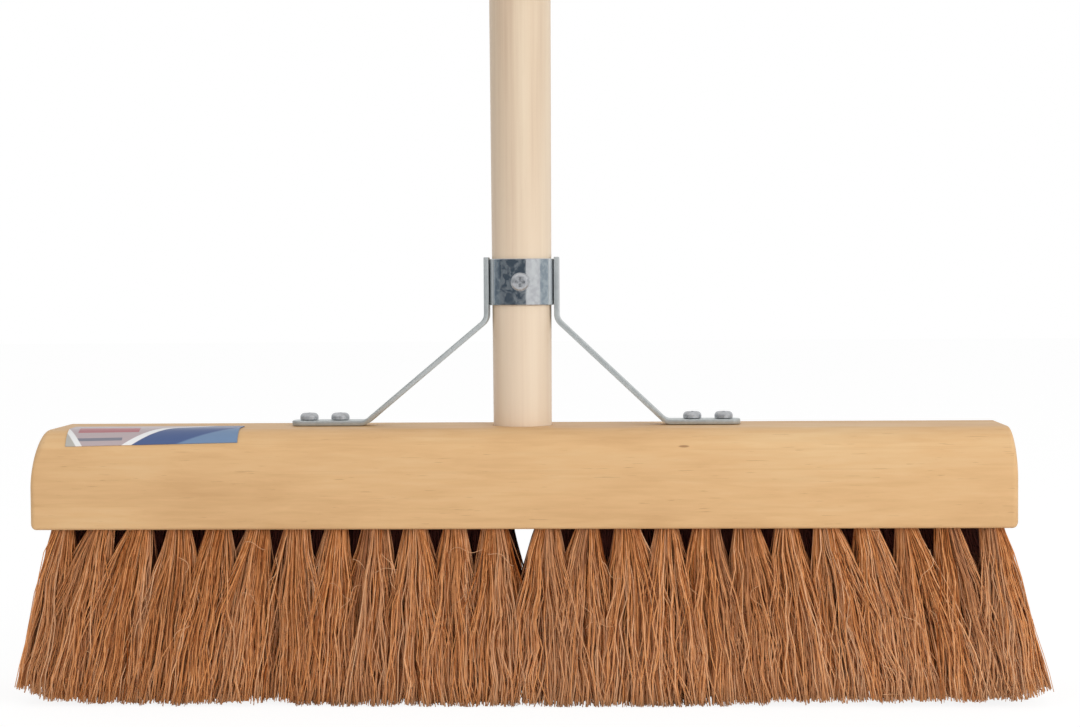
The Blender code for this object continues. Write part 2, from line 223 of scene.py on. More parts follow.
class BroomStage(bpy.types.PropertyGroup):
    """The camera, the lamps and the floor."""

    azimuth: turn("Azimuth", 2.741, "How far the camera stands to the right of the front")
    distance: size("Distance", 1.05, "Distance from the handle's axis to the camera")
    height: size("Height", 0.1935, "Height of the camera above the floor")
    pitch: turn("Pitch", -2.1465, "Upward tilt of the camera")
    yaw: turn("Yaw", -0.450, "Turn of the camera past the handle's axis")
    roll: turn("Roll", -0.3785, "Turn of the camera about its own axis")
    lens: share("Lens", 74.883, "Focal length in millimetres, on a 36 mm wide frame")
    floor: tint("Floor", (0.86, 0.86, 0.86), "Colour of the floor")


class BroomSettings(bpy.types.PropertyGroup):
    """All sizes and colours of the broom."""

    block: bpy.props.PointerProperty(type=BroomBlock, name="Block", description="The wood block")
    handle: bpy.props.PointerProperty(type=BroomHandle, name="Handle", description="The round handle")
    brace: bpy.props.PointerProperty(type=BroomBrace, name="Brace", description="The collar and straps")
    screws: bpy.props.PointerProperty(type=BroomScrews, name="Screws", description="The pan-head screws")
    label: bpy.props.PointerProperty(type=BroomLabel, name="Label", description="The plain label")
    fibres: bpy.props.PointerProperty(type=BroomFibres, name="Fibres", description="The coco fibre tufts")
    stage: bpy.props.PointerProperty(type=BroomStage, name="Stage", description="Camera, lamps and floor")


# Shader sums


class Wire:
    """A node's output that can be used in sums."""

    def __init__(self, finish, socket):
        self.finish = finish
        self.socket = socket

    def sum(self, operation, first, second):
        return self.finish.node("ShaderNodeMath", {"operation": operation}, {0: first, 1: second})

    def __add__(self, other):
        return self.sum("ADD", self, other)

    __radd__ = __add__

    def __mul__(self, other):
        return self.sum("MULTIPLY", self, other)

    __rmul__ = __mul__

    def __sub__(self, other):
        return self.sum("SUBTRACT", self, other)

    def __rsub__(self, other):
        return self.sum("SUBTRACT", other, self)


class Finish:
    """A material or a world, and the nodes that make its look."""

    def __init__(self, owner):
        self.owner = owner
        owner.use_nodes = True
        self.tree = owner.node_tree

    def node(self, kind, settings=None, sockets=None, output=0):
        """Add a node: its settings first, then its sockets' values or links. Return its output."""
        node = self.tree.nodes.new(kind)
        for key, value in (settings or {}).items():
            if key == "stops":
                stops = node.color_ramp.elements
                for _ in value[2:]:
                    stops.new(1.0)
                for stop, (place, colour) in zip(stops, value):
                    stop.position = place
                    stop.color = (*colour, 1.0)
            else:
                setattr(node, key, value)
        for key, value in (sockets or {}).items():
            self.plug(node.inputs[key], value)
        return Wire(self, node.outputs[output]) if node.outputs else None

    def plug(self, socket, value):
        """Link a wire to a socket, or set the socket's value."""
        if isinstance(value, Wire):
            self.tree.links.new(value.socket, socket)
        elif socket.type == "RGBA" and len(value) == 3:
            socket.default_value = (*value, 1.0)
        else:
            socket.default_value = value

    def feed(self, name, value):
        """Link a wire to one of the shader's sockets, or set its value."""
        self.plug(self.shader.inputs[name], value)

    def split(self, vector):
        """Return the three parts of a vector."""
        outputs = self.node("ShaderNodeSeparateXYZ", None, {0: vector}).socket.node.outputs
        return [Wire(self, output) for output in outputs]

    def place(self, scale=(1, 1, 1), offset=(0, 0, 0)):
        """Return the object's own coordinates, scaled and moved."""
        coords = self.node("ShaderNodeTexCoord", output=3)
        return self.node("ShaderNodeMapping", None, {"Vector": coords, "Scale": scale, "Location": offset})

    def noise(self, vector, scale=1.0, detail=3.0, roughness=0.5, distortion=0.0):
        """Return noise about 0.5."""
        return self.node(
            "ShaderNodeTexNoise",
            None,
            {
                "Vector": vector,
                "Scale": scale,
                "Detail": detail,
                "Roughness": roughness,
                "Distortion": distortion,
            },
        )

    def between(self, value, low, high, start=0.0, end=1.0):
        """Return a smooth step from start to end as the value goes from low to high."""
        return self.node(
            "ShaderNodeMapRange",
            {"interpolation_type": "SMOOTHSTEP"},
            {"Value": value, "From Min": low, "From Max": high, "To Min": start, "To Max": end},
        )

    def mix(self, factor, first, second):
        """Return two colours mixed by a factor."""
        return self.node("ShaderNodeMix", {"data_type": "RGBA"}, {0: factor, 6: first, 7: second}, output=2)

    def ramp(self, value, stops):
        """Return a colour that changes with a value."""
        return self.node("ShaderNodeValToRGB", {"stops": stops}, {"Fac": value})

    def bump(self, height, strength, distance):
        """Return a normal that follows a height."""
        return self.node(
            "ShaderNodeBump", None, {"Height": height, "Strength": strength, "Distance": distance}
        )


def surface(name, colour, sockets):
    """Return a finish with a Principled shader whose sockets are set by name."""
    material = bpy.data.materials.new(name)
    finish = Finish(material)
    finish.shader = finish.tree.nodes["Principled BSDF"]
    material.diffuse_color = (*colour, 1.0)
    for socket, value in sockets.items():
        finish.feed(socket, value)
    return finish


# Colours of small marks, wear and print, of painted light and painted shade, and the place of the short
# dark mark on the block's front shoulder
fleck_brown = (0.33, 0.155, 0.055)
mark_brown = (0.22, 0.09, 0.03)
mark_scale = (330, 90, 1500)
mark_centre = (0.0745, -0.0315, 0.1175)
# Painted light: the paler colour that the handle's lower end is painted
handle_painted_light = (0.83, 0.68, 0.53)
# Partly duller plating, partly painted light: the paler zinc of the collar's sides by the straps
dull_and_lit_zinc = (0.64, 0.69, 0.72)
dull_and_lit_run = 0.0012
print_grey = (0.20, 0.20, 0.24)
print_white = (0.80, 0.80, 0.80)
torn_white = (0.80, 0.80, 0.79)
corner_grey = (0.44, 0.42, 0.38)
# Painted shade: the darker colour that the fibres are painted just above the floor
painted_tip_shade = (0.34, 0.21, 0.14)


def block_finish(sizes):
    """Planed wood with its grain along X: soft blotches, streaks, growth lines and short brown flecks."""
    finish = surface("planed_block_wood", sizes.colour, {"Roughness": 0.55})
    patches = finish.noise(finish.place((7, 45, 45)), 1.0, 3.0, 0.55)
    streaks = finish.noise(finish.place((42, 400, 400)), 1.0, 4.0, 0.6, 0.3)
    drift = finish.noise(finish.place((9, 30, 30), (3, 1, 2)), 1.0, 2.0, 0.5)
    rings = finish.noise(finish.place((9, 150, 150), (1, 5, 3)), 1.0, 2.0, 0.45, 0.8)
    threads = finish.noise(finish.place((3.5, 260, 260), (4, 2, 9)), 1.0, 1.0, 0.4, 0.3)
    flecks = finish.noise(finish.place((75, 1500, 1500), (2, 0, 7)), 1.0, 2.0, 0.5)
    tone = patches * 0.40 + streaks * 0.28 + drift * 0.32
    colour = finish.ramp(tone, ((0.30, sizes.dark), (0.50, sizes.colour), (0.70, sizes.pale)))
    line = finish.between(rings, 0.56, 0.64) * finish.between(rings, 0.72, 0.66)
    colour = finish.mix(line * 0.16, colour, sizes.dark)
    thread = finish.between(threads, 0.655, 0.685) * finish.between(threads, 0.72, 0.69)
    colour = finish.mix(thread * 0.20, colour, sizes.dark)
    fleck = finish.between(flecks, 0.68, 0.76)
    colour = finish.mix(fleck * 0.40, colour, fleck_brown)
    offset = tuple(-scale * place for scale, place in zip(mark_scale, mark_centre))
    mark = finish.place(mark_scale, offset)
    away = finish.node("ShaderNodeVectorMath", {"operation": "LENGTH"}, {0: mark}, output=1)
    colour = finish.mix(finish.between(away, 1.0, 0.5) * 0.65, colour, mark_brown)
    finish.feed("Base Color", colour)
    finish.feed("Roughness", finish.between(streaks, 0.3, 0.7, 0.62, 0.50))
    finish.feed("Normal", finish.bump(streaks + fleck * -0.6, 0.12, 0.0004))
    return finish.owner


def handle_finish(sizes):
    """Smooth pale wood with its grain along Z, under a thin satin coat, and painted paler towards its lower
    end as painted light.
    """
    coat = {"Roughness": 0.45, "Coat Weight": 0.08, "Coat Roughness": 0.40}
    finish = surface("turned_handle_wood", sizes.colour, coat)
    patches = finish.noise(finish.place((70, 70, 3.0)), 1.0, 3.0, 0.5)
    streaks = finish.noise(finish.place((520, 520, 7)), 1.0, 3.0, 0.6, 0.2)
    pores = finish.noise(finish.place((1700, 1700, 60), (4, 1, 2)), 1.0, 1.0, 0.5)
    tone = patches * 0.68 + streaks * 0.32
    colour = finish.ramp(tone, ((0.34, sizes.dark), (0.50, sizes.colour), (0.66, sizes.pale)))
    pore = finish.between(pores, 0.68, 0.76)
    colour = finish.mix(pore * 0.3, colour, sizes.dark)
    upward = finish.split(finish.place())[2]
    # Painted light: the handle is painted paler towards its lower end, standing in for the light that the
    # block and the floor throw up onto it
    colour = finish.mix(finish.between(upward, 0.30, 0.14) * 0.45, colour, handle_painted_light)
    finish.feed("Base Color", colour)
    finish.feed("Normal", finish.bump(streaks + pore * -0.5, 0.08, 0.0003))
    return finish.owner


def zinc_finish(name, colour, dull, roughness, metallic, spangle, dull_and_lit_from=9.0):
    """Zinc plating: dull patches and spangles, and beyond a given distance to either side a paler, less
    metallic tone, partly duller plating and partly painted light.
    """
    finish = surface(name, colour, {})
    cloud = finish.noise(finish.place((380, 380, 380)), 1.0, 3.0, 0.55, 0.5)
    grains = finish.noise(finish.place((900, 900, 900), (3, 3, 1)), 1.0, 2.0, 0.5)
    patch = finish.between(cloud * 0.7 + grains * 0.3, 0.40, 0.60)
    plain = finish.between(patch, 0.0, 1.0, metallic, metallic - spangle)
    side = finish.split(finish.place())[0]
    away = finish.node("ShaderNodeMath", {"operation": "ABSOLUTE"}, {0: side})
    # Partly duller plating, partly painted light: past this distance to either side the zinc is made paler
    # and less metallic, so that the sides show lighter
    satin = finish.between(away, dull_and_lit_from, dull_and_lit_from + dull_and_lit_run)
    finish.feed("Base Color", finish.mix(satin, finish.mix(patch, dull, colour), dull_and_lit_zinc))
    finish.feed("Metallic", plain * (1 - satin * 0.75))
    finish.feed("Roughness", finish.between(cloud, 0.35, 0.65, roughness - 0.02, roughness + 0.04))
    finish.feed("Normal", finish.bump(grains, 0.06, 0.0001))
    return finish.owner


def label_finish(sizes):
    """Printed film: pale ground, slanted white band, two blue fields, plain bars, and a pale band and a
    grey band across one corner.
    """
    coat = {"Roughness": 0.40, "Coat Weight": 0.12, "Coat Roughness": 0.2}
    finish = surface("label_film", sizes.paper, coat)
    along, down, _ = finish.split(finish.node("ShaderNodeUVMap", {"uv_map": "label_map"}))
    slant = along + down * 0.46
    blue = finish.between(slant, 0.842, 0.852)
    white = finish.between(slant, 0.782, 0.792) * (1 - blue)
    sky = finish.between(along + down * 0.77, 1.40, 1.44)
    bar = finish.between(down, 0.455, 0.468) * finish.between(down, 0.700, 0.687)
    bar = bar * finish.between(along, 0.06, 0.065) * finish.between(along, 0.42, 0.415)
    thin = finish.between(down, 0.834, 0.844) * finish.between(down, 0.909, 0.899)
    thin = thin * finish.between(along, 0.06, 0.065) * finish.between(along, 0.33, 0.325)
    colour = finish.mix(bar, sizes.paper, sizes.red)
    colour = finish.mix(thin, colour, print_grey)
    colour = finish.mix(white, colour, print_white)
    colour = finish.mix(blue, colour, finish.mix(sky, sizes.blue, sizes.sky))
    fold = down - along * 5.0
    colour = finish.mix(finish.between(fold, 0.50, 0.54), colour, torn_white)
    # A grey band across one corner, beyond the pale one
    colour = finish.mix(finish.between(fold, 0.68, 0.72), colour, corner_grey)
    finish.feed("Base Color", colour)
    return finish.owner


# The attributes that each fibre carries, point by point
fibre_looks = ("tone", "hollow", "dry")


def fibre_finish(sizes):
    """Dry coco fibre: each fibre has its own tone, which drifts a little along it. Painted shade darkens
    the fibres deep between the tufts near the block, and at their tips.
    """
    finish = surface("coco_fibre", sizes.colour, {"Roughness": 0.60, "Specular IOR Level": 0.18})
    tone, hollow, dry = (
        finish.node("ShaderNodeAttribute", {"attribute_name": word}, output=2) for word in fibre_looks
    )
    drift = finish.noise(finish.place((1000, 1000, 180)), 1.0, 2.0, 0.6)
    patch = finish.noise(finish.place((110, 110, 55), (1, 2, 3)), 1.0, 2.0, 0.5)
    tone = tone + (drift - 0.5) * 0.9 + (patch - 0.5) * 0.4
    colour = finish.ramp(tone, ((0.0, sizes.dark), (0.5, sizes.colour), (1.0, sizes.pale)))
    colour = finish.mix(dry, colour, sizes.dry)
    # Painted shade: fibres deep between the tufts near the block are painted dark
    colour = finish.mix(hollow, colour, sizes.shade)
    upward = finish.split(finish.place())[2]
    # Painted shade: the last few millimetres above the floor are painted darker, where the tips lie in
    # shade
    colour = finish.mix(finish.between(upward, 0.0035, 0.0) * 0.45, colour, painted_tip_shade)
    finish.feed("Base Color", colour)
    return finish.owner


# Shapes


def grow(bm, face):
    """Extrude a face without moving it, and return the new face."""
    grown = bmesh.ops.extrude_face_region(bm, geom=[face, *face.edges, *face.verts])["geom"]
    return next(item for item in grown if isinstance(item, bmesh.types.BMFace))


def turned(profile, sides):
    """Spin a profile of (radius, height) points about Z into a closed body."""
    bm = bmesh.new()
    verts = [bm.verts.new((radius, 0, height)) for radius, height in profile]
    edges = [bm.edges.new(pair) for pair in zip(verts, verts[1:])]
    if profile[0][0] > 0:
        edges.append(bm.edges.new((verts[-1], verts[0])))
    bmesh.ops.spin(
        bm, geom=verts + edges, cent=(0, 0, 0), axis=(0, 0, 1), angle=math.tau, steps=sides, use_merge=True
    )
    bmesh.ops.remove_doubles(bm, verts=bm.verts[:], dist=0.00001)
    return bm


def extruded(outline, axis, length):
    """Extrude a closed outline of 3-D points along an axis."""
    bm = bmesh.new()
    face = grow(bm, bm.faces.new([bm.verts.new(point) for point in outline]))
    bmesh.ops.translate(bm, verts=face.verts[:], vec=Vector(axis) * length)
    return bm


def arc(centre, radius, start, end, steps):
    """Return points on an arc in a plane, from one angle to another."""
    points = []
    for step in range(steps + 1):
        angle = math.radians(start + (end - start) * step / steps)
        points.append((centre[0] + radius * math.cos(angle), centre[1] + radius * math.sin(angle)))
    return points


def add_object(name, data):
    """Add an object to the scene, at the origin."""
    item = bpy.data.objects.new(name, data)
    bpy.context.collection.objects.link(item)
    return item


def mesh_of(name, bm):
    """Turn a bmesh into a mesh with its faces pointing out."""
    bmesh.ops.recalc_face_normals(bm, faces=bm.faces[:])
    mesh = bpy.data.meshes.new(name)
    bm.to_mesh(mesh)
    bm.free()
    return mesh


def evaluated(item):
    """Return an object's mesh with its modifiers applied, and remove the object."""
    graph = bpy.context.evaluated_depsgraph_get()
    mesh = bpy.data.meshes.new_from_object(item.evaluated_get(graph))
    bpy.data.objects.remove(item, do_unlink=True)
    return mesh


def cut(mesh, cutter):
    """Return a mesh with the cutter's shape taken out of it."""
    item = add_object(mesh.name, mesh)
    tool = add_object("cutter", mesh_of("cutter", cutter))
    modifier = item.modifiers.new("cut", "BOOLEAN")
    modifier.operation = "DIFFERENCE"
    modifier.solver = "EXACT"
    modifier.object = tool
    bpy.context.view_layer.update()
    result = evaluated(item)
    bpy.data.objects.remove(tool, do_unlink=True)
    return result


def seat(name, mesh, material, nodes, smooth_angle=35.0):
    """Make a mesh a piece of the broom that stands for its CAD nodes."""
    mesh.name = name
    mesh.materials.clear()
    mesh.materials.append(material)
    mesh.shade_smooth()
    if smooth_angle:
        mesh.set_sharp_from_angle(angle=math.radians(smooth_angle))
    piece = add_object(name, mesh)
    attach(piece, "root")
    if nodes:
        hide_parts(*nodes)


def drills(places, radius, low, high):
    """Return upright drills of one radius at several (x, y) places."""
    bm = bmesh.new()
    for x, y in places:
        bmesh.ops.create_cone(
            bm,
            cap_ends=True,
            segments=drill_sides,
            radius1=radius,
            radius2=radius,
            depth=high - low,
            matrix=Matrix.Translation((x, y, (low + high) / 2)),
        )
    return bm


# Block


def end_drop(sizes, x):
    """Return how far the block's top falls at a place along it."""
    run, drop = (sizes.left_run, sizes.left_drop) if x < 0 else (sizes.right_run, sizes.right_drop)
    inside = max(0, abs(x) - (block_high.x - run)) / run
    return drop * (1 - math.sqrt(max(0, 1 - inside * inside)))


def block_stations(sizes, end_steps=16, ease_steps=6):
    """Return the places along X where the block's section is set, closer at its ends."""
    stations = set()
    for side, run in ((-1, sizes.left_run), (1, sizes.right_run)):
        for reach, steps in ((run, end_steps), (sizes.end_ease, ease_steps)):
            for step in range(steps + 1):
                inward = reach * (1 - math.sin(math.pi / 2 * step / steps))
                stations.add(round(side * (block_high.x - inward), 5))
        stations.add(round(side * (block_high.x - run - sizes.foot), 5))
    return sorted(stations)


def end_inset(sizes, x):
    """Return how far the section is drawn in where the edges round the flat ends are eased."""
    short = max(0, sizes.end_ease - (block_high.x - abs(x)))
    return sizes.end_ease - math.sqrt(max(0, sizes.end_ease**2 - short**2))


def block_section(sizes, shoulder_steps=14, foot_steps=4):
    """Return the block's section as (y, height) points, with a support point beside each arc."""
    height = block_high.z - block_low.z
    half = block_high.y
    flat = half - sizes.shoulder
    rise = height - sizes.shoulder
    foot_y = half - sizes.foot
    support = sizes.foot
    points = [(half, rise - support)]
    points += arc((flat, rise), sizes.shoulder, 0, 90, shoulder_steps)
    points += [(flat - support, height), (support - flat, height)]
    points += arc((-flat, rise), sizes.shoulder, 90, 180, shoulder_steps)
    points += [(-half, rise - support), (-half, sizes.foot + support)]
    points += arc((-foot_y, sizes.foot), sizes.foot, 180, 270, foot_steps)
    points += arc((foot_y, sizes.foot), sizes.foot, 270, 360, foot_steps)
    points.append((half, sizes.foot + support))
    return points


def tuft_places(fibres, row):
    """Return the distances from the middle at which one half of a row has its tufts."""
    first = fibres.middle_gap + (fibres.pitch / 2 if row % 2 else 0)
    number = 1 + math.floor((block_high.x - fibres.end_margin - first) / fibres.pitch)
    return [first + fibres.pitch * index for index in range(number)]


def row_y(fibres, row):
    """Return a row's place across the block."""
    return (row - (row_count - 1) / 2) * fibres.row_pitch


class BROOM_OT_block(bpy.types.Operator):
    """Make the wood block with its rounded shoulders and ends, its socket and its holes"""

    bl_idname = "broom.block"
    bl_label = "Block"

    def execute(self, context):
        settings = context.scene.broom
        sizes = settings.block
        handle = settings.handle
        height = block_high.z - block_low.z
        stations = block_stations(sizes)
        bm = bmesh.new()
        section = [(stations[0], y, block_low.z + up) for y, up in block_section(sizes)]
        face = bm.faces.new([bm.verts.new(point) for point in section])
        for station in stations[1:]:
            face = grow(bm, face)
            for vert in face.verts:
                vert.co.x = station
        for vert in bm.verts:
            inset = end_inset(sizes, vert.co.x)
            tall = height - end_drop(sizes, vert.co.x)
            vert.co.y *= 1 - inset / block_high.y
            vert.co.z = block_low.z + inset + (vert.co.z - block_low.z) / height * (tall - inset)
        mesh = mesh_of("wood_block", bm)

        radius = handle.seat_diameter / 2 + seat_gap
        socket = turned(
            [
                (0, handle_low.z - seat_gap),
                (handle.end_diameter / 2 + seat_gap, handle_low.z - seat_gap),
                (radius, block_high.z),
                (radius, block_high.z + height),
                (0, block_high.z + height),
            ],
            socket_sides,
        )
        mesh = cut(mesh, socket)
        holes = [
            (side * x, row_y(settings.fibres, row))
            for row in range(row_count)
            for side in (-1, 1)
            for x in tuft_places(settings.fibres, row)
        ]
        floor = block_low.z + sizes.hole_depth
        mesh = cut(mesh, drills(holes, sizes.hole / 2, block_low.z - sizes.hole_depth, floor))
        pilots = [tuple(screw_middle(name))[:2] for name in foot_screws]
        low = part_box(foot_screws[0])[0][2] - seat_gap
        pilot_radius = settings.screws.shank / 2 + seat_gap
        mesh = cut(mesh, drills(pilots, pilot_radius, low, block_high.z + height))
        seat("wood_block", mesh, block_finish(sizes), ["block"])
        return {"FINISHED"}


# Handle


class BROOM_OT_handle(bpy.types.Operator):
    """Make the round handle, tapered into its socket, with a rounded top"""

    bl_idname = "broom.handle"
    bl_label = "Handle"

    def execute(self, context):
        sizes = context.scene.broom.handle
        end = sizes.end_diameter / 2
        top = handle_high.x
        round_centre = (top - sizes.top_round, handle_high.z - sizes.top_round)
        profile = [
            (0, handle_low.z),
            (end - sizes.end_chamfer, handle_low.z),
            (end, handle_low.z + sizes.end_chamfer),
            (sizes.seat_diameter / 2, block_high.z),
            (top, block_high.z + sizes.taper_run),
        ]
        profile += arc(round_centre, sizes.top_round, 0, 90, top_steps)
        profile.append((0, handle_high.z))
        mesh = mesh_of("wood_handle", turned(profile, handle_sides))
        seat("wood_handle", mesh, handle_finish(sizes), ["handle"])
        return {"FINISHED"}


# Brace


def rounded_path(corners, radius, steps):
    """Return a path with each inner corner turned into an arc of the given middle radius."""
    path = [corners[0]]
    for before, corner, after in zip(corners, corners[1:], corners[2:]):
        into = (corner - before).normalized()
        out = (after - corner).normalized()
        half_turn = into.angle(out) / 2
        trim = radius * math.tan(half_turn)
        inward = (out - into).normalized()
        centre = corner + inward * (radius / math.cos(half_turn))
        start = corner - into * trim - centre
        side = 1 if into.cross(out) > 0 else -1
        for step in range(steps + 1):
            angle = side * 2 * half_turn * step / steps
            path.append(centre + Matrix.Rotation(angle, 2) @ start)
    path.append(corners[-1])
    return path


def offset_path(path, distance):
    """Return the path moved sideways by a distance, square to its run."""
    moved = []
    for index, point in enumerate(path):
        before = path[max(0, index - 1)]
        after = path[min(len(path) - 1, index + 1)]
        into = (point - before).normalized() if index > 0 else (after - point).normalized()
        out = (after - point).normalized() if index < len(path) - 1 else into
        tangent = (into + out).normalized()
        spread = distance / tangent.dot(out)
        moved.append(point + Vector((-tangent.y, tangent.x)) * spread)
    return moved


def make_strap(sizes, screws, side, word, material):
    """Make one bent strap: down the collar's side, out to the block and along it as a foot."""
    node = f"brace_leg_{word}"
    name = f"zinc_strap_{word}"
    low, high = corners_of(node)
    half = sizes.thickness / 2
    foot_end = max(abs(low.x), abs(high.x))
    upright = min(abs(low.x), abs(high.x)) + half
    foot_height = low.z + half
    corners = [
        Vector((upright, high.z)),
        Vector((upright, collar_low.z - sizes.bend_drop)),
        Vector((foot_end - sizes.foot, foot_height)),
        Vector((foot_end, foot_height)),
    ]
    path = rounded_path(corners, sizes.bend_radius, bend_steps)
    outline = offset_path(path, half) + list(reversed(offset_path(path, -half)))
    width = high.y - low.y
    bm = extruded([(side * point.x, low.y, point.y) for point in outline], (0, 1, 0), width)
    tips = [
        edge
        for edge in bm.edges
        if all(abs(abs(vert.co.x) - foot_end) < seat_gap for vert in edge.verts)
        and abs(edge.verts[0].co.y - edge.verts[1].co.y) < seat_gap
    ]
    bevel = {"profile": 0.5, "affect": "EDGES", "material": -1}
    bmesh.ops.bevel(bm, geom=tips, offset=sizes.corner, segments=6, **bevel)
    bmesh.ops.recalc_face_normals(bm, faces=bm.faces[:])
    rims = [edge for edge in bm.edges if edge.calc_face_angle() > math.radians(50)]
    bmesh.ops.bevel(bm, geom=rims, offset=sizes.edge, segments=2, **bevel)
    places = [tuple(screw_middle(each))[:2] for each in foot_screws if screw_middle(each).x * side > 0]
    hole = drills(places, screws.shank / 2 + seat_gap, low.z - half, low.z + 3 * half)
    mesh = cut(mesh_of(name, bm), hole)
    seat(name, mesh, material, [node])


class BROOM_OT_brace(bpy.types.Operator):
    """Make the sheet steel collar and the two bent straps that hold the handle upright"""

    bl_idname = "broom.brace"
    bl_label = "Brace"

    def execute(self, context):
        settings = context.scene.broom
        sizes = settings.brace
        # A round collar stands a little outside the corners of the model's flat-sided one
        outer = collar_high.x + seat_gap * 0.7
        inner = outer - sizes.wall
        ease = sizes.wall / 4
        profile = [
            (inner + ease, collar_low.z),
            (outer - ease, collar_low.z),
            (outer, collar_low.z + ease),
            (outer, collar_high.z - ease),
            (outer - ease, collar_high.z),
            (inner + ease, collar_high.z),
            (inner, collar_high.z - ease),
            (inner, collar_low.z + ease),
        ]
        mesh = mesh_of("zinc_collar", turned(profile, collar_sides))
        # The collar's sides by the straps are made paler and less metallic, partly as painted light
        zinc = zinc_finish("zinc_collar", sizes.colour, sizes.dull, 0.12, 1.0, 0.16, dull_and_lit_from=0.0122)
        seat("zinc_collar", mesh, zinc, ["brace_collar"])
        dull = tuple(0.93 * tone for tone in sizes.strap)
        zinc = zinc_finish("zinc_strap", sizes.strap, dull, 0.45, 0.70, 0.03)
        for side, word in halves:
            make_strap(sizes, settings.screws, side, word, zinc)
        return {"FINISHED"}


# Screws


def screw_middle(name):
    """Return the middle of a screw's box."""
    low, high = corners_of(name)
    return (low + high) / 2


def make_screw(sizes, name, node, length, matrix, material):
    """Make one pan-head screw along Z, head up, its seat at height 0, then placed by a matrix."""
    shank = sizes.shank / 2
    head = sizes.head / 2
    profile = [(0, -length), (shank, sizes.point - length), (shank, 0), (head * 0.94, 0)]
    profile.append((head, sizes.height * 0.06))
    rim = 0.34
    flat = 0.58
    steps = 10
    for step in range(steps):
        angle = math.pi / 2 * step / steps
        wide = head * (flat + (1 - flat) * math.cos(angle))
        profile.append((wide, sizes.height * (rim + (1 - rim) * math.sin(angle))))
    profile.append((0, sizes.height))
    mesh = mesh_of(name, turned(profile, screw_sides))
    arm = sizes.recess_arm / 2
    span = sizes.recess / 2
    quarter = [(span, -arm), (span, arm), (arm, arm)]
    cross = []
    for index in range(4):
        spin = Matrix.Rotation(index * math.pi / 2, 2)
        cross += [(*(spin @ Vector(point)), sizes.height - sizes.recess_depth) for point in quarter]
    cutter = extruded(cross, (0, 0, 1), sizes.height)
    mesh = cut(mesh, cutter)
    mesh.transform(matrix)
    seat(name, mesh, material, [node])


class BROOM_OT_screws(bpy.types.Operator):
    """Make the four foot screws and the collar's screw"""

    bl_idname = "broom.screws"
    bl_label = "Screws"

    def execute(self, context):
        sizes = context.scene.broom.screws
        dull = tuple(0.85 * tone for tone in sizes.colour)
        steel = zinc_finish("plated_screw", sizes.colour, dull, 0.38, 0.70, 0.16)
        for node in foot_screws:
            low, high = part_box(node)
            middle = screw_middle(node)
            length = high[2] - low[2] - sizes.height
            place = Matrix.Translation((middle.x, middle.y, high[2] - sizes.height))
            make_screw(sizes, f"steel_{node}", node, length, place, steel)
        middle = screw_middle("collar_screw")
        low, high = corners_of("collar_screw")
        length = high.y - low.y - sizes.height
        front = low.y + sizes.height
        place = Matrix.Translation((middle.x, front, middle.z)) @ Matrix.Rotation(math.pi / 2, 4, "X")
        make_screw(sizes, "steel_collar_screw", "collar_screw", length, place, steel)
        return {"FINISHED"}


# Label


class BROOM_OT_label(bpy.types.Operator):
    """Make the thin label that wraps the block's front shoulder"""

    bl_idname = "broom.label"
    bl_label = "Label"

    def execute(self, context):
        settings = context.scene.broom
        sizes = settings.label
        radius = settings.block.shoulder
        shoulder = (-(block_high.y - radius), block_high.z - radius)
        inner = radius + seat_gap / 3
        outer = inner + sizes.thickness
        lap_y = shoulder[0] + sizes.lap
        far = 90 + sizes.wrap
        outline = [(lap_y, shoulder[1] + inner)]
        outline += arc(shoulder, inner, 90, far, wrap_steps)
        outline += arc(shoulder, outer, far, 90, wrap_steps)
        outline.append((lap_y, shoulder[1] + outer))
        length = label_high.x - label_low.x
        bm = extruded([(label_low.x, y, z) for y, z in outline], (1, 0, 0), length)
        layer = bm.loops.layers.uv.new("label_map")
        reach = sizes.lap + math.radians(sizes.wrap) * outer
        tilt = Matrix.Rotation(math.radians(-sizes.tilt), 2)
        middle = Vector((length / 2, reach / 2))
        for vert in bm.verts:
            x, y, z = vert.co
            spot = Vector((x - label_low.x, max(0, lap_y - max(y, shoulder[0]))))
            lift = z - shoulder[1]
            if y < shoulder[0]:
                spot.y += math.atan2(shoulder[0] - y, lift) * outer
                lift = math.hypot(y - shoulder[0], lift)
            for loop in vert.link_loops:
                loop[layer].uv = (spot.x / length, spot.y / reach)
            spot = middle + tilt @ (spot - middle)
            bend = max(0, spot.y - sizes.lap) / outer
            vert.co.x = label_low.x + spot.x
            vert.co.y = lap_y - min(spot.y, sizes.lap) - lift * math.sin(bend)
            vert.co.z = shoulder[1] + lift * math.cos(bend)
        seat("label", mesh_of("label", bm), label_finish(sizes), ["label"], 50.0)
        return {"FINISHED"}


# Fibres


# How far apart the straight strands stand before they are bent
strand_step = 3


def strand_mesh(name, number, rings):
    """Return a mesh of straight strands of radius 1, side by side, one unit from ring to ring."""
    bm = bmesh.new()
    made = bmesh.ops.create_circle(bm, cap_ends=True, segments=strand_sides, radius=1)
    face = made["verts"][0].link_faces[0]
    for _ in range(rings - 1):
        face = grow(bm, face)
        bmesh.ops.translate(bm, verts=face.verts[:], vec=(0, 0, 1))
    item = add_object(name, mesh_of(name, bm))
    array = item.modifiers.new("copies", "ARRAY")
    array.count = number
    array.use_relative_offset = False
    array.use_constant_offset = True
    array.constant_offset_displace = (strand_step, 0, 0)
    bpy.context.view_layer.update()
    return evaluated(item)


